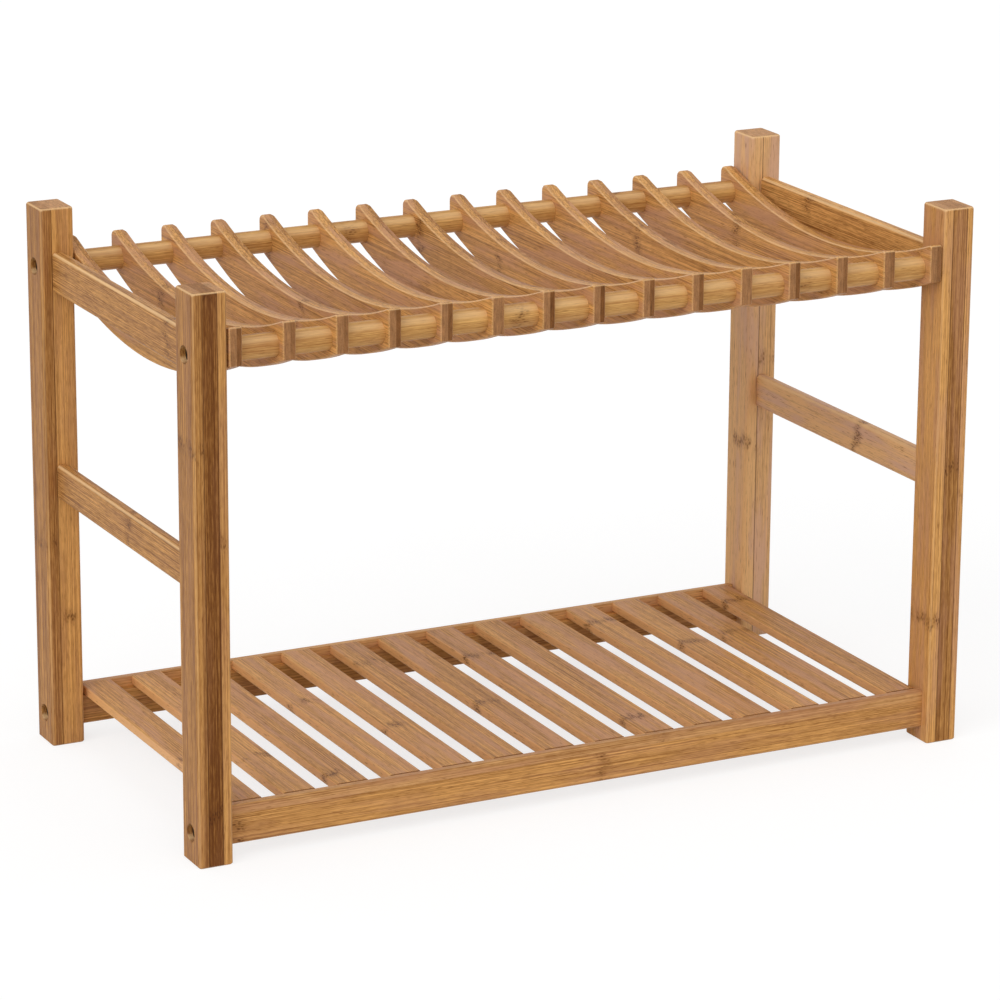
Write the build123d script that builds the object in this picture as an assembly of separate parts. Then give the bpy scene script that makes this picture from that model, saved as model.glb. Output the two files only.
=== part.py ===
from build123d import *
import os

# Two-tier bamboo dish rack. Four square posts carry a plate cradle, which is a row of curved ribs
# on two round dowels, and a slatted shelf near the floor. Side rails tie each pair of posts.
# Millimetres. +X runs along the rack to the right, +Y to the back, +Z up. The origin is on the
# floor, in the middle of the rack's footprint.

# Overall frame
WIDTH = 514.0
DEPTH = 258.0
HEIGHT = 342.0
POST_WIDTH = 21.5
POST_DEPTH = 25.0
POST_EDGE = 2.2
POST_TOP_EDGE = 1.7
POST_FOOT_EDGE = 0.8

# Fits
BUTT_GAP = 0.1
ROUND_FIT = 0.08
HOLE_RELIEF = 0.5

# Round dowels of the plate cradle
DOWEL_DIAMETER = 14.4
DOWEL_DROP = 37.5
DOWEL_SEAT = 6.0

# Ribs of the plate cradle
RIB_COUNT = 15
RIB_THICKNESS = 8.0
RIB_SIDE_GAP = 1.0
RIB_RISE = 16.5
RIB_END_HEIGHT = 23.3
RIB_MIDDLE_HEIGHT = 24.8
RIB_SAG = 23.5
RIB_FRONT_CORNER = 1.5
RIB_REAR_CORNER = 4.0
RIB_TIP_EDGE = 2.5
RIB_EDGE = 0.7

# Side rails between the front and rear posts
SIDE_RAIL_THICKNESS = 8.0
SIDE_RAIL_TOP_EDGE = 2.8
SIDE_RAIL_LOWER_EDGE = 2.0
SIDE_RAIL_END_EDGE = 1.5
UPPER_RAIL_HEIGHT = 24.5
UPPER_RAIL_DROP = 27.0
MIDDLE_RAIL_HEIGHT = 21.5
MIDDLE_RAIL_TOP = 182.0

# Hidden pins in the side rails' ends
PIN_DIAMETER = 4.0
PIN_IN_POST = 8.0
PIN_IN_RAIL = 16.0
PIN_SPACING = 12.0

# Slatted shelf
SHELF_TOP = 34.0
SHELF_FACE_INSET = 6.5
SHELF_RAIL_HEIGHT = 18.5
SHELF_RAIL_DEPTH = 12.0
SHELF_RAIL_EDGE = 2.0
SHELF_STRIP_DEPTH = 5.5
SHELF_STRIP_EDGE = 1.8
SLAT_COUNT = 14
SLAT_WIDTH = 20.3
SLAT_THICKNESS = 6.2
SLAT_SIDE_GAP = 3.0
SLAT_EDGE = 1.2

# Cap bolts that hold the dowels and the shelf rails to the posts
BOLT_DIAMETER = 5.0
BOLT_LENGTH = 32.0
BOLT_HEAD_DIAMETER = 9.6
BOLT_HEAD_HEIGHT = 3.6
BOLT_HEAD_EDGE = 0.4
BOLT_KEY = 4.0
BOLT_KEY_DEPTH = 2.2
COUNTERBORE_DIAMETER = 11.0
COUNTERBORE_DEPTH = 6.5

# Places that follow from the sizes above
INNER_X = WIDTH / 2 - POST_WIDTH
INNER_Y = DEPTH / 2 - POST_DEPTH
POST_X = WIDTH / 2 - POST_WIDTH / 2
POST_Y = DEPTH / 2 - POST_DEPTH / 2
DOWEL_Z = HEIGHT - DOWEL_DROP
SHELF_FACE_Y = DEPTH / 2 - SHELF_FACE_INSET
SHELF_RAIL_TOP = SHELF_TOP - SLAT_THICKNESS
SHELF_RAIL_Y = SHELF_FACE_Y - SHELF_RAIL_DEPTH / 2
SHELF_RAIL_Z = SHELF_RAIL_TOP - SHELF_RAIL_HEIGHT / 2
SLAT_END_Y = SHELF_FACE_Y - SHELF_STRIP_DEPTH - BUTT_GAP
BOLT_SEAT_X = WIDTH / 2 - COUNTERBORE_DEPTH

SIDES = {"left": -1, "right": 1}
ENDS = {"front": -1, "rear": 1}
SIDE_RAILS = {
    "upper": (HEIGHT - UPPER_RAIL_DROP, UPPER_RAIL_HEIGHT),
    "middle": (MIDDLE_RAIL_TOP, MIDDLE_RAIL_HEIGHT),
}


def rod_x(diameter, x_from, x_to, y, z):
    """A round rod, or the tool for a round hole, along X between two places."""
    rod = Cylinder(diameter / 2, abs(x_to - x_from), rotation=(0, 90, 0))
    return Pos((x_from + x_to) / 2, y, z) * rod


def rod_y(diameter, y_from, y_to, x, z):
    """A round rod, or the tool for a round hole, along Y between two places."""
    rod = Cylinder(diameter / 2, abs(y_to - y_from), rotation=(90, 0, 0))
    return Pos(x, (y_from + y_to) / 2, z) * rod


def evenly(count, thickness, side_gap):
    """Middle X of each of a row of equal pieces spread evenly between the posts."""
    reach = INNER_X - side_gap - thickness / 2
    pitch = 2 * reach / (count - 1)
    return [index * pitch - reach for index in range(count)]


def rail_middle(rail):
    """Height of the middle of a side rail."""
    top, height = SIDE_RAILS[rail]
    return top - height / 2


def pin_heights(rail):
    """Heights of the two pins in each end of a side rail."""
    return [rail_middle(rail) - PIN_SPACING / 2, rail_middle(rail) + PIN_SPACING / 2]


def bolt_places(end):
    """The (y, z) places of the two bolts through a post at the front or rear."""
    return {"dowel": (end * POST_Y, DOWEL_Z), "shelf": (end * SHELF_RAIL_Y, SHELF_RAIL_Z)}


def bolt_pilot(side, y, z):
    """The tool for the hole that a bolt's shank fills, from the post's outer face inwards."""
    tip = BOLT_SEAT_X - BOLT_LENGTH - HOLE_RELIEF
    return rod_x(BOLT_DIAMETER + 2 * ROUND_FIT, side * tip, side * WIDTH / 2, y, z)


def post(side, end):
    """A square post with eased edges, bored for its dowel, its bolts and the side rails' pins."""
    body = Box(POST_WIDTH, POST_DEPTH, HEIGHT)
    body = fillet(body.edges().filter_by(Axis.Z), POST_EDGE)
    body = fillet(body.edges().group_by(Axis.Z)[-1], POST_TOP_EDGE)
    body = chamfer(body.edges().group_by(Axis.Z)[0], POST_FOOT_EDGE)
    body = Pos(side * POST_X, end * POST_Y, HEIGHT / 2) * body

    seat = DOWEL_DIAMETER + 2 * ROUND_FIT
    body -= rod_x(seat, 0, side * (INNER_X + DOWEL_SEAT), end * POST_Y, DOWEL_Z)
    for y, z in bolt_places(end).values():
        body -= bolt_pilot(side, y, z)
        body -= rod_x(COUNTERBORE_DIAMETER, side * BOLT_SEAT_X, side * WIDTH, y, z)

    hole_end = INNER_Y + PIN_IN_POST + HOLE_RELIEF
    for rail in SIDE_RAILS:
        for z in pin_heights(rail):
            body -= rod_y(PIN_DIAMETER + 2 * ROUND_FIT, 0, end * hole_end, side * POST_X, z)
    return body


def side_rail(side, rail):
    """A flat rail on edge between a front and a rear post, round-topped and bored for its pins."""
    height = SIDE_RAILS[rail][1]
    reach = INNER_Y - BUTT_GAP
    body = Box(SIDE_RAIL_THICKNESS, 2 * reach, height)
    levels = body.edges().filter_by(Axis.Y).group_by(Axis.Z)
    body = fillet(levels[-1], SIDE_RAIL_TOP_EDGE)
    body = fillet(body.edges().filter_by(Axis.Y).group_by(Axis.Z)[0], SIDE_RAIL_LOWER_EDGE)
    faces = body.faces().sort_by(Axis.Y)
    body = fillet(faces[0].edges() + faces[-1].edges(), SIDE_RAIL_END_EDGE)
    body = Pos(side * POST_X, 0, rail_middle(rail)) * body

    hole_start = INNER_Y - PIN_IN_RAIL - HOLE_RELIEF
    for end in ENDS.values():
        for z in pin_heights(rail):
            body -= rod_y(PIN_DIAMETER + 2 * ROUND_FIT, end * hole_start, end * INNER_Y, side * POST_X, z)
    return body


def rail_pins():
    """The hidden pins that join every side rail to its two posts."""
    length = PIN_IN_POST + PIN_IN_RAIL
    middle_y = INNER_Y + (PIN_IN_POST - PIN_IN_RAIL) / 2
    pins = []
    for side in SIDES.values():
        for end in ENDS.values():
            for rail in SIDE_RAILS:
                for z in pin_heights(rail):
                    pin = Cylinder(PIN_DIAMETER / 2, length, rotation=(90, 0, 0))
                    pins.append(Pos(side * POST_X, end * middle_y, z) * pin)
    return Compound(children=pins)


def dowel(end):
    """A round dowel across the rack, seated in both posts and bored for its end bolts."""
    reach = INNER_X + DOWEL_SEAT - BUTT_GAP
    body = rod_x(DOWEL_DIAMETER, -reach, reach, end * POST_Y, DOWEL_Z)
    for side in SIDES.values():
        body -= bolt_pilot(side, end * POST_Y, DOWEL_Z)
    return body


def rib_profile():
    """A rib's side view in Y and Z: a hollow top, a bellied underside and upright ends."""
    half = DEPTH / 2
    top_end = DOWEL_Z + RIB_RISE
    low_end = top_end - RIB_END_HEIGHT
    top_middle = top_end - RIB_SAG
    low_middle = top_middle - RIB_MIDDLE_HEIGHT
    front = Line((-half, top_end), (-half, low_end))
    belly = ThreePointArc((-half, low_end), (0, low_middle), (half, low_end))
    rear = Line((half, low_end), (half, top_end))
    hollow = ThreePointArc((half, top_end), (0, top_middle), (-half, top_end))
    profile = make_face([front, belly, rear, hollow])
    profile = fillet(profile.vertices().group_by(Axis.Y)[-1].sort_by(Axis.X)[0], RIB_FRONT_CORNER)
    profile = fillet(profile.vertices().sort_by(Axis.X)[-2:].sort_by(Axis.Y)[-1], RIB_REAR_CORNER)
    return profile


def tip_waste(tip_top):
    """What goes from a rib's rear tip when it is rounded across, where the hollow rises to the tip."""
    bar = Box(RIB_THICKNESS, DEPTH, 2 * RIB_END_HEIGHT)
    bar = fillet(bar.edges().filter_by(Axis.Y).group_by(Axis.Z)[-1], RIB_TIP_EDGE)
    block = Pos(0, 0, RIB_END_HEIGHT - RIB_TIP_EDGE) * Box(2 * RIB_THICKNESS, DEPTH / 2, 2 * RIB_TIP_EDGE)
    return Pos(0, DEPTH / 2, tip_top - RIB_END_HEIGHT) * (block - bar)


def rib(middle_x):
    """A curved plate rib, eased all round and rounded at its rear tip, that both dowels pass through."""
    plate = extrude(Plane.YZ * rib_profile(), RIB_THICKNESS / 2, both=True)
    rear_corner = plate.faces().filter_by(GeomType.CYLINDER).sort_by(Axis.Y)[-1]
    faces = plate.faces().sort_by(Axis.X)
    plate = chamfer(faces[0].edges() + faces[-1].edges(), RIB_EDGE)
    plate -= tip_waste(rear_corner.bounding_box().max.Z)
    bore = DOWEL_DIAMETER + 2 * ROUND_FIT
    for end in ENDS.values():
        plate -= rod_x(bore, -RIB_THICKNESS, RIB_THICKNESS, end * POST_Y, DOWEL_Z)
    return Pos(middle_x, 0, 0) * plate


def shelf_rail(end):
    """The deep lower strip of a shelf rail, whose inner part is the ledge under the slats."""
    reach = INNER_X - BUTT_GAP
    body = Box(2 * reach, SHELF_RAIL_DEPTH, SHELF_RAIL_HEIGHT)
    body = fillet(body.edges().filter_by(Axis.X).group_by(Axis.Z)[0], SHELF_RAIL_EDGE)
    body = Pos(0, end * SHELF_RAIL_Y, SHELF_RAIL_Z) * body
    for side in SIDES.values():
        body -= bolt_pilot(side, end * SHELF_RAIL_Y, SHELF_RAIL_Z)
    return body


def shelf_strip(end):
    """The thin strip glued along a shelf rail's outer edge, which hides the slats' ends."""
    reach = INNER_X - BUTT_GAP
    body = Box(2 * reach, SHELF_STRIP_DEPTH, SLAT_THICKNESS)
    outer_top = body.edges().filter_by(Axis.X).group_by(Axis.Z)[-1].sort_by(Axis.Y)[end]
    body = fillet(outer_top, SHELF_STRIP_EDGE)
    return Pos(0, end * (SHELF_FACE_Y - SHELF_STRIP_DEPTH / 2), SHELF_TOP - SLAT_THICKNESS / 2) * body


def slat(middle_x):
    """A flat slat with eased long edges, resting on both shelf rails between their strips."""
    body = Box(SLAT_WIDTH, 2 * SLAT_END_Y, SLAT_THICKNESS)
    body = fillet(body.edges().filter_by(Axis.Y), SLAT_EDGE)
    return Pos(middle_x, 0, SHELF_TOP - SLAT_THICKNESS / 2) * body


def bolt(side, y, z):
    """A cap bolt with a hexagon key socket, its head on the floor of the counterbore."""
    head_face = BOLT_SEAT_X + BOLT_HEAD_HEIGHT
    head = Cylinder(BOLT_HEAD_DIAMETER / 2, BOLT_HEAD_HEIGHT)
    head = chamfer(head.edges().group_by(Axis.Z)[-1], BOLT_HEAD_EDGE)
    key = extrude(RegularPolygon(BOLT_KEY / 2, 6, major_radius=False), BOLT_KEY_DEPTH)
    head -= Pos(0, 0, BOLT_HEAD_HEIGHT / 2 - BOLT_KEY_DEPTH) * key
    head = Pos(side * (head_face - BOLT_HEAD_HEIGHT / 2), y, z) * Rot(0, side * 90, 0) * head
    return head + rod_x(BOLT_DIAMETER, side * (BOLT_SEAT_X - BOLT_LENGTH), side * BOLT_SEAT_X, y, z)


def bolts(use):
    """The four bolts that hold both dowels, or both shelf rails."""
    return Compound(children=[bolt(s, *bolt_places(e)[use]) for s in SIDES.values() for e in ENDS.values()])


def save(shape, name):
    """Write one named piece to its own file."""
    export_step(shape, f"parts/{name}.step")


os.makedirs("parts", exist_ok=True)
for end_name, end_sign in ENDS.items():
    for side_name, side_sign in SIDES.items():
        save(post(side_sign, end_sign), f"{end_name}_{side_name}_post")
    save(dowel(end_sign), f"{end_name}_dowel")
    save(shelf_rail(end_sign), f"{end_name}_shelf_rail")
    save(shelf_strip(end_sign), f"{end_name}_shelf_strip")
for side_name, side_sign in SIDES.items():
    for rail_name in SIDE_RAILS:
        save(side_rail(side_sign, rail_name), f"{rail_name}_{side_name}_rail")
for number, x in enumerate(evenly(RIB_COUNT, RIB_THICKNESS, RIB_SIDE_GAP), start=1):
    save(rib(x), f"rib_{number:02d}")
for number, x in enumerate(evenly(SLAT_COUNT, SLAT_WIDTH, SLAT_SIDE_GAP), start=1):
    save(slat(x), f"slat_{number:02d}")
save(rail_pins(), "side_rail_pins")
save(bolts("dowel"), "dowel_bolts")
save(bolts("shelf"), "shelf_bolts")
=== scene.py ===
"""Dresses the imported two-tier dish rack: bamboo, steel and a pale studio. Lengths are in metres."""

import logging
import math
from collections.abc import Iterable, Mapping, Sequence
from dataclasses import dataclass, field
from enum import Enum

import bpy
from mathutils import Matrix, Vector

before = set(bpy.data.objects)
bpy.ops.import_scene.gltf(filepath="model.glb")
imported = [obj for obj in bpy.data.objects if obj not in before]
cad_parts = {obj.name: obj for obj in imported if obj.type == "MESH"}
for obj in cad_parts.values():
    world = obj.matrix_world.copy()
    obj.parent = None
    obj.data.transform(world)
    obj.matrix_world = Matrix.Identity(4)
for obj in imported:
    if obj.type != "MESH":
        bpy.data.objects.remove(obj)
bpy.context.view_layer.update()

LOG = logging.getLogger("dish_rack")
MM = 0.001
NOISE_MEAN = 0.5
SCREEN_WHITE = 255
SCREEN_TOE, TOE_SLOPE = 0.04045, 12.92
SCREEN_LIFT, SCREEN_POWER = 0.055, 2.4

Colour = tuple[float, float, float]
Direction = tuple[float, float, float]


def paint(red: int, green: int, blue: int) -> Colour:
    """Turns a screen's colour into the linear one that a shader takes.

    Args:
        red: the screen's red, from 0 to 255.
        green: its green.
        blue: its blue.

    Returns:
        The linear colour.
    """
    shares = (part / SCREEN_WHITE for part in (red, green, blue))
    return tuple(
        share / TOE_SLOPE
        if share <= SCREEN_TOE
        else ((share + SCREEN_LIFT) / (1 + SCREEN_LIFT)) ** SCREEN_POWER
        for share in shares
    )


class Axis(Enum):
    """A direction of the rack's frame: right, back or up."""

    X = 0
    Y = 1
    Z = 2


BLUSH = paint(202, 149, 111)


class Cane(Enum):
    """A batch of bamboo: its pale colour, its deep one, and the one it blushes to."""

    GOLDEN = (paint(226, 168, 98), paint(136, 86, 38), BLUSH)
    ROSY = (paint(228, 180, 124), paint(142, 98, 60), paint(212, 168, 136))
    ROUND = (paint(226, 178, 108), paint(166, 112, 56), BLUSH)
    EDGE = (paint(230, 178, 118), paint(160, 108, 58), BLUSH)
    PLAIN = (paint(214, 184, 142), paint(186, 148, 104), BLUSH)


class Value:
    """A number in a material that changes over the surface. Arithmetic on it adds Math nodes."""

    def __init__(self, shader: "Shader", socket: bpy.types.NodeSocket) -> None:
        """Keeps the shader that the number belongs to, and the socket that gives it."""
        self.shader = shader
        self.socket = socket

    def math(self, operation: str, *terms: "Value | float") -> "Value":
        """Adds a Math node.

        Args:
            operation: the Math node's own name for what it does.
            terms: the node's inputs in order, values or plain numbers.

        Returns:
            The node's result.
        """
        made = self.shader.node(
            "ShaderNodeMath", {"operation": operation}, dict(enumerate(terms))
        )
        return Value(self.shader, made.outputs[0])

    def __add__(self, other: "Value | float") -> "Value":
        """Adds a value or a number."""
        return self.math("ADD", self, other)

    __radd__ = __add__

    def __sub__(self, other: "Value | float") -> "Value":
        """Takes a value or a number away."""
        return self.math("SUBTRACT", self, other)

    def __rsub__(self, other: float) -> "Value":
        """Is taken away from a number."""
        return self.math("SUBTRACT", other, self)

    def __mul__(self, other: "Value | float") -> "Value":
        """Multiplies by a value or a number."""
        return self.math("MULTIPLY", self, other)

    __rmul__ = __mul__

    def __truediv__(self, other: "Value | float") -> "Value":
        """Divides by a value or a number."""
        return self.math("DIVIDE", self, other)

    def __rtruediv__(self, other: float) -> "Value":
        """Divides a number."""
        return self.math("DIVIDE", other, self)

    def __gt__(self, other: "Value | float") -> "Value":
        """Gives 1 where this is the greater, and 0 elsewhere."""
        return self.math("GREATER_THAN", self, other)

    def __abs__(self) -> "Value":
        """Drops the sign."""
        return self.math("ABSOLUTE", self)

    def __floor__(self) -> "Value":
        """Rounds down."""
        return self.math("FLOOR", self)

    def fraction(self) -> "Value":
        """Gives what is left above the whole number."""
        return self.math("FRACT", self)

    def largest(self, other: "Value | float") -> "Value":
        """Gives the larger of the two."""
        return self.math("MAXIMUM", self, other)

    def smallest(self, other: "Value | float") -> "Value":
        """Gives the smaller of the two."""
        return self.math("MINIMUM", self, other)

    def clamped(self) -> "Value":
        """Keeps the number between 0 and 1."""
        return self.largest(0.0).smallest(1.0)

    def steady(self, number: float) -> "Value":
        """Gives a value that is the same number all over the surface."""
        return self * 0.0 + number

    def swing(self) -> "Value":
        """Gives how far noise or chance stands above its mean, from -0.5 to 0.5."""
        return self - NOISE_MEAN

    def rise(self, low: float, high: float) -> "Value":
        """Climbs smoothly from 0 to 1.

        Args:
            low: the number up to which the result is 0.
            high: the number from which the result is 1.

        Returns:
            The share, from 0 to 1.
        """
        made = self.shader.node(
            "ShaderNodeMapRange",
            {"interpolation_type": "SMOOTHSTEP"},
            {"Value": self, "From Min": low, "From Max": high, "To Min": 0.0, "To Max": 1.0},
        )
        return Value(self.shader, made.outputs[0])

    def fall(self, low: float, high: float) -> "Value":
        """Drops smoothly from 1, at low, to 0, at high."""
        return 1 - self.rise(low, high)


class Tint:
    """A colour or vector in a material. It is changed through Mix and Vector Math nodes only."""

    def __init__(self, shader: "Shader", socket: bpy.types.NodeSocket) -> None:
        """Keeps the shader that the colour belongs to, and the socket that gives it."""
        self.shader = shader
        self.socket = socket

    def toward(self, other: "Tint | Colour", share: Value | float) -> "Tint":
        """Mixes in another colour.

        Args:
            other: the colour that is mixed in.
            share: how much of it, from 0 to 1.

        Returns:
            The mixed colour.
        """
        return self.shader.mix(share, self, other)

    def stained(self, stain: Colour, share: Value | float) -> "Tint":
        """Stains the colour.

        Args:
            stain: the colour that it is multiplied by.
            share: how strong the stain is, from 0 to 1.

        Returns:
            The stained colour.
        """
        return self.shader.mix(share, self, stain, "MULTIPLY")

    def scaled(self, factor: Value | float) -> "Tint":
        """Makes the colour lighter or darker.

        Args:
            factor: what each part of the colour is multiplied by.

        Returns:
            The new colour.
        """
        made = self.shader.node(
            "ShaderNodeVectorMath",
            {"operation": "SCALE"},
            {"Vector": self, "Scale": factor},
        )
        return Tint(self.shader, made.outputs[0])

    def parts(self) -> tuple[Value, Value, Value]:
        """Splits the vector into its X, Y and Z."""
        made = self.shader.node("ShaderNodeSeparateXYZ", {}, {"Vector": self})
        return tuple(Value(self.shader, made.outputs[axis.value]) for axis in Axis)


class Shader:
    """The nodes of one material, or of the world, while they are being wired."""

    MIX_FACTOR, MIX_FIRST, MIX_SECOND, MIX_RESULT = 0, 6, 7, 2
    NOISE_ROUGHNESS = 0.6

    def __init__(self, owner: bpy.types.Material | bpy.types.World) -> None:
        """Empties the nodes.

        Args:
            owner: the new material or world that they belong to.
        """
        self.owner = owner
        owner.use_nodes = True
        self.tree = owner.node_tree
        self.tree.nodes.clear()

    def node(
        self,
        kind: str,
        settings: Mapping[str, object],
        inputs: Mapping[str | int, object],
    ) -> bpy.types.Node:
        """Adds a node of any kind.

        Args:
            kind: the node's type.
            settings: the node's own properties, which are set before its sockets are.
            inputs: a number, colour, Value, Tint or socket for each named or counted input.

        Returns:
            The new node.
        """
        made = self.tree.nodes.new(kind)
        for key, setting in settings.items():
            setattr(made, key, setting)
        for key, given in inputs.items():
            socket = made.inputs[key]
            if isinstance(given, (Value, Tint)):
                self.tree.links.new(given.socket, socket)
            elif isinstance(given, bpy.types.NodeSocket):
                self.tree.links.new(given, socket)
            elif socket.type == "RGBA":
                socket.default_value = (*given, 1.0)
            else:
                socket.default_value = given
        return made

    def mix(
        self,
        share: Value | float,
        first: Tint | Colour,
        second: Tint | Colour,
        blend: str = "MIX",
    ) -> Tint:
        """Mixes two colours.

        Args:
            share: how much of the second colour, from 0 to 1.
            first: the colour at a share of 0.
            second: the colour that is mixed in, or that the first is multiplied by.
            blend: the Mix node's own name for how it joins them.

        Returns:
            The mixed colour.
        """
        made = self.node(
            "ShaderNodeMix",
            {"data_type": "RGBA", "blend_type": blend},
            {self.MIX_FACTOR: share, self.MIX_FIRST: first, self.MIX_SECOND: second},
        )
        return Tint(self, made.outputs[self.MIX_RESULT])

    def place(self) -> tuple[Value, Value, Value]:
        """Gives the place on the rack, in metres along each axis of its frame."""
        made = self.node("ShaderNodeTexCoord", {}, {})
        return Tint(self, made.outputs["Object"]).parts()

    def facing(self) -> tuple[Value, Value, Value]:
        """Gives the direction that the surface faces, in the rack's frame."""
        made = self.node("ShaderNodeTexCoord", {}, {})
        return Tint(self, made.outputs["Normal"]).parts()

    def seen(self) -> Value:
        """Tells who sees the surface.

        Returns:
            1 to the camera and to the rays that gloss or glass sends on, and 0 to the rest.
        """
        made = self.node("ShaderNodeLightPath", {}, {})
        seen = Value(self, made.outputs["Is Camera Ray"])
        for ray in ("Is Glossy Ray", "Is Transmission Ray"):
            seen = seen.largest(Value(self, made.outputs[ray]))
        return seen

    def vector(self, *parts: Value | float) -> Tint:
        """Joins three numbers into a vector."""
        made = self.node("ShaderNodeCombineXYZ", {}, dict(enumerate(parts)))
        return Tint(self, made.outputs[0])

    def noise(self, where: Tint, detail: float = 2.0) -> Value:
        """Gives smooth noise.

        Args:
            where: the place, in units of the noise's own grains.
            detail: how many finer layers are added.

        Returns:
            A number from 0 to 1, with its mean at NOISE_MEAN.
        """
        made = self.node(
            "ShaderNodeTexNoise",
            {},
            {
                "Vector": where,
                "Scale": 1.0,
                "Detail": detail,
                "Roughness": self.NOISE_ROUGHNESS,
            },
        )
        return Value(self, made.outputs[0])

    def dots(self, where: Tint) -> Value:
        """Gives the distance to the nearest of many scattered points."""
        made = self.node("ShaderNodeTexVoronoi", {}, {"Vector": where, "Scale": 1.0})
        return Value(self, made.outputs["Distance"])

    def chance(self, key: Value) -> Value:
        """Gives a random number from 0 to 1 that stays the same wherever key does."""
        made = self.node(
            "ShaderNodeTexWhiteNoise", {"noise_dimensions": "1D"}, {"W": key}
        )
        return Value(self, made.outputs["Value"])

    def relief(self, height: Value, depth: float, strength: float) -> bpy.types.NodeSocket:
        """Raises and sinks the surface.

        Args:
            height: the height, from 0 to 1.
            depth: how far a height of 1 stands above a height of 0, in metres.
            strength: how much of the relief shows, from 0 to 1.

        Returns:
            The surface's new direction.
        """
        made = self.node(
            "ShaderNodeBump",
            {},
            {"Height": height, "Distance": depth, "Strength": strength},
        )
        return made.outputs[0]

    def finish(self, surface: Mapping[str, object]) -> bpy.types.Material:
        """Closes a material.

        Args:
            surface: what goes into the sockets of the surface shader.

        Returns:
            The material.
        """
        body = self.node("ShaderNodeBsdfPrincipled", {}, surface)
        self.node("ShaderNodeOutputMaterial", {}, {"Surface": body.outputs[0]})
        return self.owner

    def shine(self, strength: Value) -> None:
        """Closes a world that shines white.

        Args:
            strength: how strongly it shines, where 1 is white.
        """
        light = self.node(
            "ShaderNodeBackground", {}, {"Color": (1.0, 1.0, 1.0), "Strength": strength}
        )
        self.node("ShaderNodeOutputWorld", {}, {"Surface": light.outputs[0]})


@dataclass(frozen=True)
class Spot:
    """A place on a piece: along its fibres, across its strips, and across their edges."""

    run: Value
    across: Value
    face: Value


@dataclass(frozen=True)
class Grain:
    """Noise that is drawn out along the bamboo."""

    length: float
    width: float
    detail: float = 2.0

    def draw(self, shader: Shader, spot: Spot) -> Value:
        """Gives the noise.

        Args:
            shader: the material.
            spot: the place on the piece.

        Returns:
            A number from 0 to 1, with its mean at NOISE_MEAN.
        """
        where = shader.vector(
            spot.run / self.length, spot.across / self.width, spot.face / self.width
        )
        return shader.noise(where, self.detail)


@dataclass(frozen=True)
class Row:
    """Pieces that are alike and stand in a row along X."""

    first: float
    pitch: float

    def number(self, along_row: Value) -> Value:
        """Gives the number of the piece, counted from 0, at a place along the row."""
        return math.floor((along_row - self.first) / self.pitch + 0.5)

    def local(self, along_row: Value) -> Value:
        """Gives the distance from the middle of the piece."""
        return along_row - self.first - self.number(along_row) * self.pitch


@dataclass(frozen=True)
class Marks:
    """What shows at a spot of the bamboo. All but the tone and the darkness are from 0 to 1."""

    tone: Value
    dark: Value
    glue: Value
    fibre: Value
    streak: Value
    mottle: Value
    vein: Value
    cloud: Value
    speck: Value
    shade: Value
    vessel: Value
    layer: Value
    end: Value
    side: Value
    arris: Value


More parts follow.
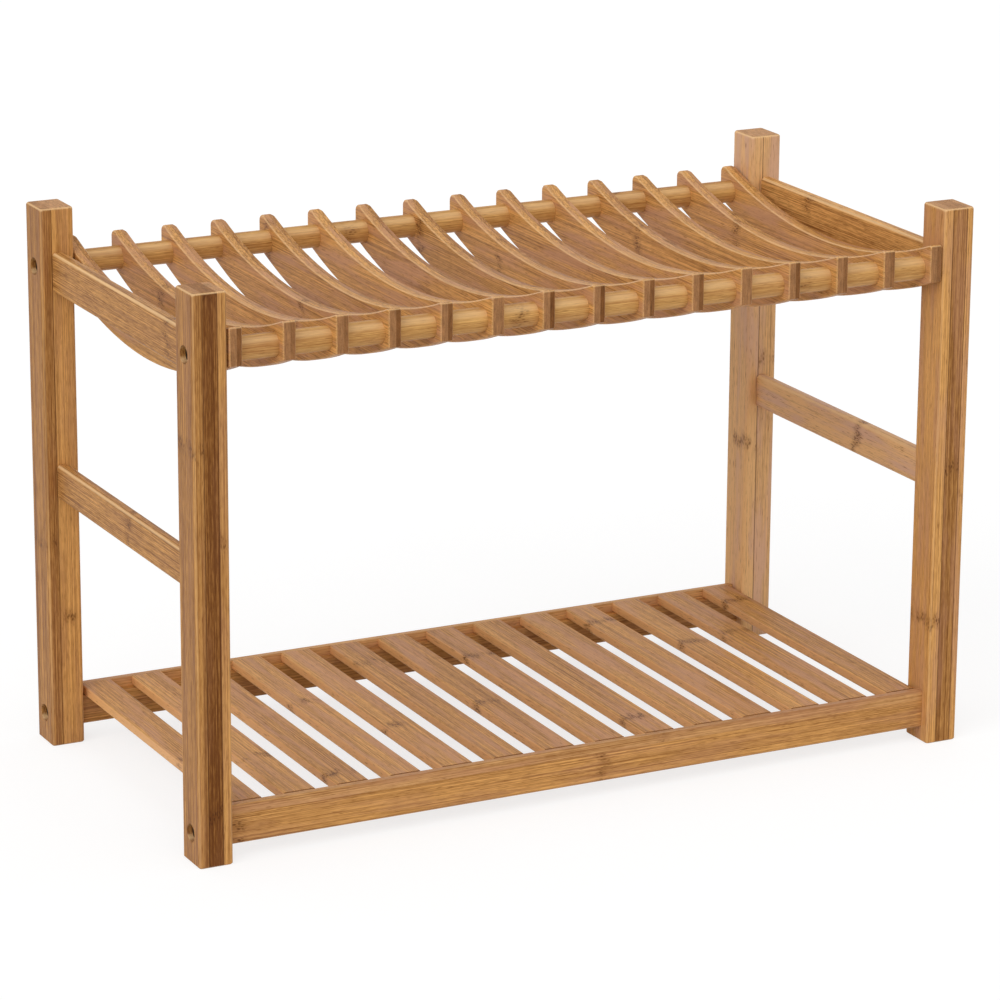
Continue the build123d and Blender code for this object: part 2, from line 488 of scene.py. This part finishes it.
@dataclass(frozen=True)
class Bamboo:
    """Clear-oiled bamboo, glued up from strips, with fibres, knuckles, end grain and eased edges.

    The strips run along one axis and are glued across another. A piece's own tone, grain and
    knuckles come from its seed, or from its number in a row of like pieces.
    """

    name: str
    along: Axis
    glued: Axis
    cane: Cane = Cane.GOLDEN
    row: Row | None = None
    middle: float = 0.0
    glue_lines: tuple[float, ...] = ()
    strip_tones: tuple[float, ...] = (0.0,)
    piece_spread: float = 0.25
    strip_spread: float = 0.25
    streaks: float = 0.65
    fibres: float = 2.3
    mottling: float = 0.85
    clouds: float = 0.6
    blushing: float = 0.45
    edge_wear_and_highlight: float = 0.6
    sides: float = 0.0
    glue_shows: float = 0.85
    end_contrast: float = 0.8
    knuckle_pitch: float = 0.27
    knuckle_strength: float = 0.8
    knuckle_shift: float = 0.0
    seed: float = 0.0
    end_colour: Colour = paint(158, 112, 72)

    KNUCKLE_COLOUR = paint(88, 48, 16)
    VEIN_COLOUR = paint(128, 78, 36)
    GLUE_COLOUR = paint(84, 46, 18)
    # The pale colour of rubbed edges, which also paints a highlight along them.
    ARRIS_WEAR_AND_HIGHLIGHT_COLOUR = paint(236, 196, 144)
    # The paler colour of the strips' sides: painted light that lifts the shade on them.
    SIDE_PAINTED_LIGHT_COLOUR = paint(232, 176, 118)
    STAIN = (0.54, 0.43, 0.28)

    # What sets the random draws of pieces and strips apart.
    PIECE_KEY = 7.13
    STRIP_KEY = 3.71
    SECOND_DRAW = 0.37
    TONE_DRAW = 0.11
    RUN_SPREAD = 2.3

    FIBRE = Grain(130 * MM, 0.65 * MM, 3.0)
    STREAK = Grain(300 * MM, 3.2 * MM)
    MOTTLE = Grain(9 * MM, 1.0 * MM)
    VEIN = Grain(8 * MM, 0.55 * MM, 1.0)
    VEIN_EDGE = (0.60, 0.74)
    CLOUD = Grain(70 * MM, 9 * MM)
    CLOUD_EDGE = (0.42, 0.66)
    GLUE_WIDTH = 0.5 * MM

    WOBBLE = Grain(50 * MM, 4 * MM)
    WOBBLE_REACH = 16 * MM
    PATCH = Grain(24 * MM, 7 * MM, 1.0)
    PATCH_EDGE = (0.36, 0.56)
    KNUCKLE_REACH = 7.5 * MM
    KNUCKLE_SPREAD = 1.7
    SPECK_LENGTH = 2.8 * MM
    SPECK_WIDTH = 0.9 * MM
    SPECK_EDGE = (0.24, 0.56)

    VESSEL_WIDTH = 0.9 * MM
    VESSEL_EDGE = (0.15, 0.5)
    LAYER_LENGTH = 9 * MM
    LAYER_WIDTH = 1.1 * MM

    # How squarely a face meets an axis before it counts as a cut end, a side or flat at all.
    END_EDGE = (0.62, 0.86)
    SIDE_EDGE = (0.7, 0.95)
    FLAT_EDGE = (0.80, 0.985)
    LEAST_ARRIS = 0.25

    # How much of each mark the colours take.
    COMMON_SHARE = 0.5
    TONE_SHOWS = 0.35
    VEIN_SHOWS = 0.55
    SHADE_SHOWS = 0.5
    STAIN_EDGE = (0.86, 1.24)
    STAIN_SPARES = 0.3
    VESSEL_SHOWS = 0.35
    END_STREAKS = 0.4
    END_LAYERS = 1.2
    END_LEAST = 0.2
    WEAR_AND_HIGHLIGHT_LEAST = 0.4
    WEAR_AND_HIGHLIGHT_FIBRES = 0.8

    # How much each mark roughens the surface, and how far it stands up or lies low.
    ROUGH_LEAST = 0.46
    ROUGH_FIBRES = 0.24
    ROUGH_END = 0.2
    ROUGH_VEINS = 0.1
    SMOOTH_ARRIS = 0.06
    RAISED_FIBRES = 0.6
    RAISED_STREAKS = 0.2
    SUNK_VEINS = 0.5
    SUNK_SPECKS = 0.5
    SUNK_GLUE = 0.6
    SUNK_VESSELS = 0.8

    RELIEF_DEPTH = 0.18 * MM
    RELIEF_STRENGTH = 0.6
    SPECULAR = 0.10
    COAT = 0.05
    COAT_ROUGHNESS = 0.20

    def material(self) -> bpy.types.Material:
        """Wires the bamboo.

        Returns:
            The material.
        """
        shader = Shader(bpy.data.materials.new(self.name))
        marks = self.marks(shader)
        colour = self.face_colour(shader, marks)
        colour = colour.toward(self.cut_colour(shader, marks), marks.end)
        # Eased edges turn paler: real rubbing, and a painted highlight that grows the more the edge
        # faces up.
        worn_and_highlit = marks.arris * (self.WEAR_AND_HIGHLIGHT_LEAST + marks.fibre * self.WEAR_AND_HIGHLIGHT_FIBRES)
        colour = colour.toward(self.ARRIS_WEAR_AND_HIGHLIGHT_COLOUR, worn_and_highlit * self.edge_wear_and_highlight)
        height = self.height(marks)
        return shader.finish(
            {
                "Base Color": colour,
                "Roughness": self.roughness(marks),
                "Specular IOR Level": self.SPECULAR,
                "Coat Weight": self.COAT,
                "Coat Roughness": self.COAT_ROUGHNESS,
                "Normal": shader.relief(height, self.RELIEF_DEPTH, self.RELIEF_STRENGTH),
            }
        )

    def marks(self, shader: Shader) -> Marks:
        """Draws all that the bamboo shows.

        Args:
            shader: the material.

        Returns:
            The marks at the spot.
        """
        place = shader.place()
        third = next(axis for axis in Axis if axis not in (self.along, self.glued))
        along, glued, face = (place[axis.value] for axis in (self.along, self.glued, third))
        key, local = self.piece_key(place, glued)
        strip, glue = self.strips(local)
        own = key + strip * self.STRIP_KEY
        luck, luck_too = shader.chance(own), shader.chance(own + self.SECOND_DRAW)
        tone = self.strip_tone(strip) + luck.swing() * self.strip_spread
        tone = tone + shader.chance(key + self.TONE_DRAW).swing() * self.piece_spread
        spot = Spot(along + luck * self.RUN_SPREAD, glued + luck_too, face)
        speck, shade = self.knuckles(shader, spot, luck_too)
        vessel, layer = self.cut(shader, spot)
        end, side, arris = self.edges(shader)
        return Marks(
            tone=tone,
            dark=tone.smallest(0.0) * -1.0,
            glue=glue,
            fibre=self.FIBRE.draw(shader, spot),
            streak=self.STREAK.draw(shader, spot),
            mottle=self.MOTTLE.draw(shader, spot),
            vein=self.VEIN.draw(shader, spot).rise(*self.VEIN_EDGE),
            cloud=self.CLOUD.draw(shader, spot),
            speck=speck,
            shade=shade,
            vessel=vessel,
            layer=layer,
            end=end,
            side=side,
            arris=arris,
        )

    def piece_key(
        self, place: Sequence[Value], glued: Value
    ) -> tuple[Value, Value]:
        """Tells the pieces of a row apart.

        Args:
            place: the place on the rack.
            glued: the place along the axis that the strips are glued across.

        Returns:
            A number that differs from piece to piece, and the distance from the piece's middle
            along the axis that its strips are glued across.
        """
        if self.row is None:
            return glued.steady(self.seed), glued - self.middle
        key = self.row.number(place[Axis.X.value]) * self.PIECE_KEY + self.seed
        if self.glued is Axis.X:
            return key, self.row.local(glued)
        return key, glued - self.middle

    def strips(self, local: Value) -> tuple[Value, Value]:
        """Divides the piece at its glue lines.

        Args:
            local: the distance from the piece's middle, across the strips.

        Returns:
            The strip's number, and how much a glue line shows, from 0 to 1.
        """
        number, glue = local.steady(0.0), local.steady(0.0)
        for line in self.glue_lines:
            number = number + (local > line)
            glue = glue.largest(abs(local - line).fall(0.0, self.GLUE_WIDTH))
        return number, glue

    def strip_tone(self, strip: Value) -> Value:
        """Gives the strip's tone, as steps from one strip to the next.

        Args:
            strip: the strip's number.

        Returns:
            The tone, where 0 is common, more is paler and less is darker.
        """
        tone = strip.steady(self.strip_tones[0])
        pairs = zip(self.strip_tones, self.strip_tones[1:])
        for number, (before, after) in enumerate(pairs):
            tone = tone + (strip > number + 0.5) * (after - before)
        return tone

    def knuckles(self, shader: Shader, spot: Spot, luck: Value) -> tuple[Value, Value]:
        """Draws the knuckles, where the cane was jointed, as patches of short dark marks.

        Args:
            shader: the material.
            spot: the place on the piece.
            luck: the strip's own random number.

        Returns:
            The marks, and the shade round them, each from 0 to 1.
        """
        count = (spot.run + self.knuckle_shift) / self.knuckle_pitch
        count = count + luck * self.KNUCKLE_SPREAD
        distance = count.fraction().swing() * self.knuckle_pitch
        wobble = self.WOBBLE.draw(shader, spot).swing() * self.WOBBLE_REACH
        patch = self.PATCH.draw(shader, spot).rise(*self.PATCH_EDGE)
        shade = abs(distance + wobble).fall(0.0, self.KNUCKLE_REACH) * patch
        cells = shader.vector(
            spot.run / self.SPECK_LENGTH,
            spot.across / self.SPECK_WIDTH,
            spot.face / self.SPECK_WIDTH,
        )
        return shader.dots(cells).fall(*self.SPECK_EDGE) * shade, shade

    def cut(self, shader: Shader, spot: Spot) -> tuple[Value, Value]:
        """Draws the end grain.

        Args:
            shader: the material.
            spot: the place on the piece.

        Returns:
            The dots of the cut fibres, and the layers of the cane, each from 0 to 1.
        """
        cells = shader.vector(
            spot.across / self.VESSEL_WIDTH, spot.face / self.VESSEL_WIDTH, 0.0
        )
        sheets = shader.vector(
            spot.across / self.LAYER_WIDTH, spot.face / self.LAYER_LENGTH, 0.0
        )
        return shader.dots(cells).fall(*self.VESSEL_EDGE), shader.noise(sheets)

    def edges(self, shader: Shader) -> tuple[Value, Value, Value]:
        """Finds the cut ends, the strips' sides and the rounded edges.

        Args:
            shader: the material.

        Returns:
            How much shows of the end grain, of the strips' sides and of the eased edges, each from
            0 to 1. Upward edges count for more: their pale colour is rubbing plus a painted
                                                 highlight.
        """
        facing = shader.facing()
        flat = [abs(part) for part in facing]
        end = flat[self.along.value].rise(*self.END_EDGE)
        side = flat[self.glued.value].rise(*self.SIDE_EDGE)
        flattest = flat[0].largest(flat[1]).largest(flat[2])
        arris = 1 - flattest.rise(*self.FLAT_EDGE)
        # Upward-facing edges take more of the pale edge colour: a painted highlight.
        upward = facing[Axis.Z.value].largest(0.0)
        return end, side, arris * (upward + self.LEAST_ARRIS).smallest(1.0)

    def face_colour(self, shader: Shader, marks: Marks) -> Tint:
        """Colours the faces that run along the fibres.

        Args:
            shader: the material.
            marks: what shows at the spot.

        Returns:
            The colour.
        """
        pale, deep, blush = self.cane.value
        share = marks.streak.swing() * self.streaks + marks.fibre.swing() * self.fibres
        share = share + marks.tone * self.TONE_SHOWS + marks.mottle.swing() * self.mottling
        share = share + (NOISE_MEAN - marks.cloud) * self.clouds + self.COMMON_SHARE
        colour = shader.mix(share.clamped(), deep, pale)
        colour = colour.toward(blush, marks.cloud.rise(*self.CLOUD_EDGE) * self.blushing)
        # The strips' sides are painted paler: painted light that lifts the shade in the gaps between
        # slats.
        colour = colour.toward(self.SIDE_PAINTED_LIGHT_COLOUR, marks.side * self.sides)
        colour = colour.toward(self.VEIN_COLOUR, marks.vein * self.VEIN_SHOWS)
        shade = marks.shade * self.SHADE_SHOWS * self.knuckle_strength
        colour = colour.toward(self.VEIN_COLOUR, shade)
        colour = colour.toward(self.KNUCKLE_COLOUR, marks.speck * self.knuckle_strength)
        spared = (marks.fibre + marks.mottle).rise(*self.STAIN_EDGE) * self.STAIN_SPARES
        colour = colour.stained(self.STAIN, marks.dark * (1 - spared))
        return colour.toward(self.GLUE_COLOUR, marks.glue * self.glue_shows)

    def cut_colour(self, shader: Shader, marks: Marks) -> Tint:
        """Colours the cut ends.

        Args:
            shader: the material.
            marks: what shows at the spot.

        Returns:
            The colour.
        """
        colour = shader.mix(
            marks.vessel * self.VESSEL_SHOWS, self.end_colour, self.VEIN_COLOUR
        )
        light = marks.streak * self.END_STREAKS + marks.layer * self.END_LAYERS
        colour = colour.scaled(light + self.END_LEAST)
        return colour.stained(self.STAIN, marks.dark * self.end_contrast)

    def roughness(self, marks: Marks) -> Value:
        """Roughens the fibres, veins and cut ends, and smooths the handled edges.

        Args:
            marks: what shows at the spot.

        Returns:
            The roughness.
        """
        rough = self.ROUGH_LEAST + marks.fibre.swing() * self.ROUGH_FIBRES
        rough = rough + marks.end * self.ROUGH_END - marks.arris * self.SMOOTH_ARRIS
        return rough + marks.vein * self.ROUGH_VEINS

    def height(self, marks: Marks) -> Value:
        """Raises the fibres, and sinks the veins, knuckles, glue lines and cut vessels.

        Args:
            marks: what shows at the spot.

        Returns:
            The height, about from 0 to 1.
        """
        height = marks.fibre * self.RAISED_FIBRES + marks.streak * self.RAISED_STREAKS
        height = height - marks.vein * self.SUNK_VEINS - marks.speck * self.SUNK_SPECKS
        height = height - marks.glue * self.SUNK_GLUE
        return height - marks.end * marks.vessel * self.SUNK_VESSELS


@dataclass(frozen=True)
class DarkSteel:
    """Blackened steel of the bolt heads, a little polished where a key has turned in them."""

    name: str = "bolt_steel_dark"
    dark: Colour = paint(44, 42, 40)
    bright: Colour = paint(92, 88, 84)

    GRAINS_ALONG = 900.0
    GRAINS_ACROSS = 2600.0
    GRAIN_DETAIL = 3.0
    FLAT_EDGE = (0.75, 0.98)
    GRAIN_SHOWS = 0.5
    EDGE_SHOWS = 0.4
    ROUGH_LEAST = 0.34
    ROUGH_GRAIN = 0.2
    RELIEF_DEPTH = 0.06 * MM
    RELIEF_STRENGTH = 0.4

    def material(self) -> bpy.types.Material:
        """Wires the steel.

        Returns:
            The material.
        """
        shader = Shader(bpy.data.materials.new(self.name))
        x, y, z = shader.place()
        where = shader.vector(
            x * self.GRAINS_ALONG, y * self.GRAINS_ACROSS, z * self.GRAINS_ACROSS
        )
        grain = shader.noise(where, self.GRAIN_DETAIL)
        facing = [abs(part) for part in shader.facing()]
        edge = 1 - facing[0].largest(facing[1]).largest(facing[2]).rise(*self.FLAT_EDGE)
        share = grain * self.GRAIN_SHOWS + edge * self.EDGE_SHOWS
        return shader.finish(
            {
                "Base Color": shader.mix(share, self.dark, self.bright),
                "Metallic": 1.0,
                "Roughness": self.ROUGH_LEAST + grain * self.ROUGH_GRAIN,
                "Normal": shader.relief(grain, self.RELIEF_DEPTH, self.RELIEF_STRENGTH),
            }
        )


def dress(nodes: Iterable[str], material: bpy.types.Material) -> list[str]:
    """Gives CAD nodes their finish.

    Args:
        nodes: the nodes' names.
        material: the finish.

    Returns:
        The names of the nodes dressed.
    """
    dressed = list(nodes)
    for name in dressed:
        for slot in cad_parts[name].material_slots:
            slot.link = "OBJECT"
            slot.material = material
    return dressed


@dataclass(frozen=True)
class Plies:
    """How a post or rail is glued up: glue lines from its middle, how pale or dark each strip is
    (partly its own colour, partly painted light and shade), and its cane.
    """

    lines: tuple[float, ...]
    tones_and_painted_light: tuple[float, ...]
    blushing: float = 0.2
    cane: Cane = Cane.GOLDEN


@dataclass
class Posts:
    """The four square posts, each glued up from two or three upright strips."""

    middle_x: float = 246.25 * MM
    first_seed: float = 11.3
    seed_step: float = 5.7
    plies: Mapping[str, Plies] = field(
        default_factory=lambda: {
            # The left posts' outer strips are darker and the right posts' inner strips paler: partly
            # the plies' own colour, partly painted shade on the outer left faces and painted light on
            # the right posts' inner faces.
            "front_left_post": Plies((-4.5 * MM, 4.4 * MM), (-0.36, -1.05, 0.05)),
            "front_right_post": Plies((-4.2 * MM, 5.6 * MM), (0.35, -0.5, 0.4), 0.5),
            "rear_left_post": Plies((-3.8 * MM,), (-0.42, 0.3)),
            "rear_right_post": Plies((-2.5 * MM,), (1.3, 0.7), 0.9, Cane.ROSY),
        }
    )

    def build(self) -> list[str]:
        """Dresses each post in its own bamboo.

        Returns:
            The posts' names.
        """
        done = []
        for number, (name, plies) in enumerate(self.plies.items()):
            side = -1 if "left" in name else 1
            finish = Bamboo(
                name=f"{name}_bamboo",
                along=Axis.Z,
                glued=Axis.X,
                cane=plies.cane,
                middle=side * self.middle_x,
                glue_lines=plies.lines,
                strip_tones=plies.tones_and_painted_light,
                strip_spread=0.0,
                piece_spread=0.0,
                blushing=plies.blushing,
                streaks=0.35,
                edge_wear_and_highlight=0.9,
                end_colour=paint(192, 144, 100),
                seed=self.first_seed + self.seed_step * number,
                knuckle_pitch=0.31,
            )
            done += dress([name], finish.material())
        return done


@dataclass
class Cradle:
    """The ribs that hold the plates, and the round dowels that they are threaded on."""

    count: int = 15
    row: Row = Row(-230.5 * MM, 32.929 * MM)

    def build(self) -> list[str]:
        """Dresses the ribs and the dowels.

        Returns:
            The pieces' names.
        """
        ribs = Bamboo(
            name="rib_bamboo_oiled",
            along=Axis.Y,
            glued=Axis.X,
            row=self.row,
            glue_lines=(0.6 * MM,),
            strip_tones=(0.25, -0.2),
            strip_spread=0.2,
            piece_spread=0.35,
            clouds=0.8,
            end_contrast=2.6,
            glue_shows=0.25,
            blushing=0.65,
            seed=2.1,
            knuckle_pitch=0.36,
        )
        dowels = Bamboo(
            name="dowel_bamboo_oiled",
            along=Axis.X,
            glued=Axis.Z,
            cane=Cane.ROUND,
            blushing=0.1,
            fibres=1.9,
            seed=31.9,
            knuckle_pitch=0.19,
        )
        names = [f"rib_{number:02d}" for number in range(1, self.count + 1)]
        done = dress(names, ribs.material())
        return done + dress(["front_dowel", "rear_dowel"], dowels.material())


@dataclass
class EndFrames:
    """The upper and middle rails that join the posts at each end, and their hidden pins."""

    first_seed: float = 41.0
    seed_step: float = 3.3
    plies: Mapping[str, Plies] = field(
        default_factory=lambda: {
            # The right rails are paler than the left ones: partly their own colour, partly painted
            # light on the right rails' inner faces.
            "upper_left_rail": Plies((), (-0.2,), 0.1),
            "middle_left_rail": Plies((), (-0.2,), 0.1),
            "upper_right_rail": Plies((), (0.3,), 0.0),
            "middle_right_rail": Plies((), (1.6,), 1.1, Cane.ROSY),
        }
    )

    def build(self) -> list[str]:
        """Dresses each rail in its own bamboo, and the pins.

        Returns:
            The nodes' names.
        """
        done = []
        for number, (name, plies) in enumerate(self.plies.items()):
            finish = Bamboo(
                name=f"{name}_bamboo",
                along=Axis.Y,
                glued=Axis.Z,
                cane=plies.cane,
                strip_tones=plies.tones_and_painted_light,
                piece_spread=0.0,
                strip_spread=0.0,
                blushing=plies.blushing,
                fibres=2.7,
                mottling=1.2,
                edge_wear_and_highlight=0.9,
                seed=self.first_seed + self.seed_step * number,
                knuckle_pitch=0.26,
            )
            done += dress([name], finish.material())
        pins = Bamboo(
            name="pin_wood_plain",
            along=Axis.Y,
            glued=Axis.X,
            cane=Cane.PLAIN,
            knuckle_strength=0.0,
            seed=71.0,
        )
        return done + dress(["side_rail_pins"], pins.material())


@dataclass
class Shelf:
    """The lower shelf: a rail and a strip at the front and at the back, with slats between."""

    count: int = 14
    row: Row = Row(-222.35 * MM, 34.208 * MM)
    first_rail_seed: float = 81.0
    rail_seed_step: float = 2.9
    first_strip_seed: float = 91.0
    strip_seed_step: float = 2.3

    def build(self) -> list[str]:
        """Dresses the slats, the rails and the strips.

        Returns:
            The pieces' names.
        """
        slats = Bamboo(
            name="slat_bamboo_oiled",
            along=Axis.Y,
            glued=Axis.X,
            row=self.row,
            blushing=0.7,
            edge_wear_and_highlight=0.15,
            # The slats' sides, shaded in the gaps between them, are painted paler.
            sides=0.8,
            piece_spread=0.3,
            seed=5.3,
            knuckle_pitch=0.26,
            knuckle_strength=0.9,
        )
        names = [f"slat_{number:02d}" for number in range(1, self.count + 1)]
        done = dress(names, slats.material())
        for number, end in enumerate(("front", "rear")):
            rail = Bamboo(
                name=f"{end}_shelf_rail_bamboo",
                along=Axis.X,
                glued=Axis.Y,
                seed=self.first_rail_seed + self.rail_seed_step * number,
                blushing=0.25,
                knuckle_pitch=0.24,
                knuckle_shift=125 * MM,
            )
            strip = Bamboo(
                name=f"{end}_shelf_strip_bamboo",
                along=Axis.X,
                glued=Axis.Y,
                cane=Cane.EDGE,
                seed=self.first_strip_seed + self.strip_seed_step * number,
                knuckle_pitch=0.29,
                knuckle_strength=0.4,
            )
            done += dress([f"{end}_shelf_rail"], rail.material())
            done += dress([f"{end}_shelf_strip"], strip.material())
        return done


@dataclass
class Fasteners:
    """The bolts that hold the dowels and the shelf to the posts."""

    finish: DarkSteel = DarkSteel()

    def build(self) -> list[str]:
        """Dresses the bolts and gives their nodes' names."""
        return dress(["dowel_bolts", "shelf_bolts"], self.finish.material())


@dataclass(frozen=True)
class Lamp:
    """A soft lamp, far off: the way to it, how wide it looks in degrees, and its strength."""

    name: str
    toward: Direction
    spread: float
    strength: float

    def hang(self) -> str:
        """Hangs the lamp.

        Returns:
            Its name.
        """
        data = bpy.data.lights.new(self.name, "SUN")
        data.angle = math.radians(self.spread)
        data.energy = self.strength
        lamp = bpy.data.objects.new(self.name, data)
        lamp.rotation_euler = Vector(self.toward).to_track_quat("Z", "Y").to_euler()
        bpy.context.scene.collection.objects.link(lamp)
        return self.name


@dataclass
class Studio:
    """The pale floor, the soft lamps, the white surroundings and the camera."""

    floor_size: float = 14.0
    floor_colour: Colour = (0.80, 0.80, 0.80)
    floor_shown: Colour = (0.30, 0.30, 0.30)
    floor_lift: Colour = (0.75, 0.75, 0.75)
    floor_roughness: float = 0.9
    world_strength: float = 0.64
    lamps: Sequence[Lamp] = (
        Lamp("left_lamp", (-0.74, -0.36, 0.57), 50.0, 1.0),
        Lamp("front_lamp", (-0.10, -0.85, 0.52), 60.0, 0.5),
    )
    eye: Direction = (-1.182, -2.338, 0.938)
    yaw: float = math.radians(26.84)
    pitch: float = math.radians(16.64)
    roll: float = math.radians(0.35)
    focal_pixels: float = 4430.0
    frame_pixels: float = 1000.0
    sensor: float = 36.0
    sight: float = 50.0

    def build(self) -> list[str]:
        """Builds the studio.

        Returns:
            The names of what is in it.
        """
        self.floor()
        self.surroundings()
        self.camera()
        return ["floor", "surroundings", "camera", *(lamp.hang() for lamp in self.lamps)]

    def floor(self) -> None:
        """Lays the floor, white to the camera and keeping the rack's shadow."""
        half = self.floor_size / 2
        mesh = bpy.data.meshes.new("studio_floor")
        corners = [(-half, -half, 0), (half, -half, 0), (half, half, 0), (-half, half, 0)]
        mesh.from_pydata(corners, [], [(0, 1, 2, 3)])
        floor = bpy.data.objects.new("studio_floor", mesh)
        bpy.context.scene.collection.objects.link(floor)
        shader = Shader(bpy.data.materials.new("studio_floor_pale"))
        seen = shader.seen()
        floor.data.materials.append(
            shader.finish(
                {
                    "Base Color": shader.mix(seen, self.floor_colour, self.floor_shown),
                    "Roughness": self.floor_roughness,
                    "Specular IOR Level": 0.0,
                    "Emission Color": shader.mix(seen, (0.0, 0.0, 0.0), self.floor_lift),
                    "Emission Strength": 1.0,
                }
            )
        )

    def surroundings(self) -> None:
        """Sets the world: soft grey light, and white where the camera or a gloss sees it."""
        world = bpy.data.worlds.new("studio_world")
        bpy.context.scene.world = world
        shader = Shader(world)
        shader.shine(shader.seen() * (1 - self.world_strength) + self.world_strength)

    def camera(self) -> None:
        """Sets the camera at the angle that the photograph was taken from."""
        data = bpy.data.cameras.new("camera")
        data.sensor_width = self.sensor
        data.lens = self.sensor * self.focal_pixels / self.frame_pixels
        data.clip_end = self.sight
        camera = bpy.data.objects.new("camera", data)
        ahead = Vector(
            (
                math.sin(self.yaw) * math.cos(self.pitch),
                math.cos(self.yaw) * math.cos(self.pitch),
                -math.sin(self.pitch),
            )
        )
        level = Vector((math.cos(self.yaw), -math.sin(self.yaw), 0.0))
        upright = level.cross(ahead)
        right = math.cos(self.roll) * level + math.sin(self.roll) * upright
        up = math.cos(self.roll) * upright - math.sin(self.roll) * level
        turn = Matrix((right, up, -ahead)).transposed()
        camera.matrix_world = Matrix.Translation(self.eye) @ turn.to_4x4()
        bpy.context.scene.collection.objects.link(camera)
        bpy.context.scene.camera = camera


def main() -> None:
    """Dresses every sub-assembly in turn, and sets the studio."""
    logging.basicConfig(level=logging.INFO, format="%(message)s")
    bpy.context.scene.view_settings.view_transform = "Standard"
    for part in (Posts(), Cradle(), EndFrames(), Shelf(), Fasteners(), Studio()):
        for piece in part.build():
            LOG.info("%s: %s", type(part).__name__, piece)


if __name__ == "__main__":
    main()
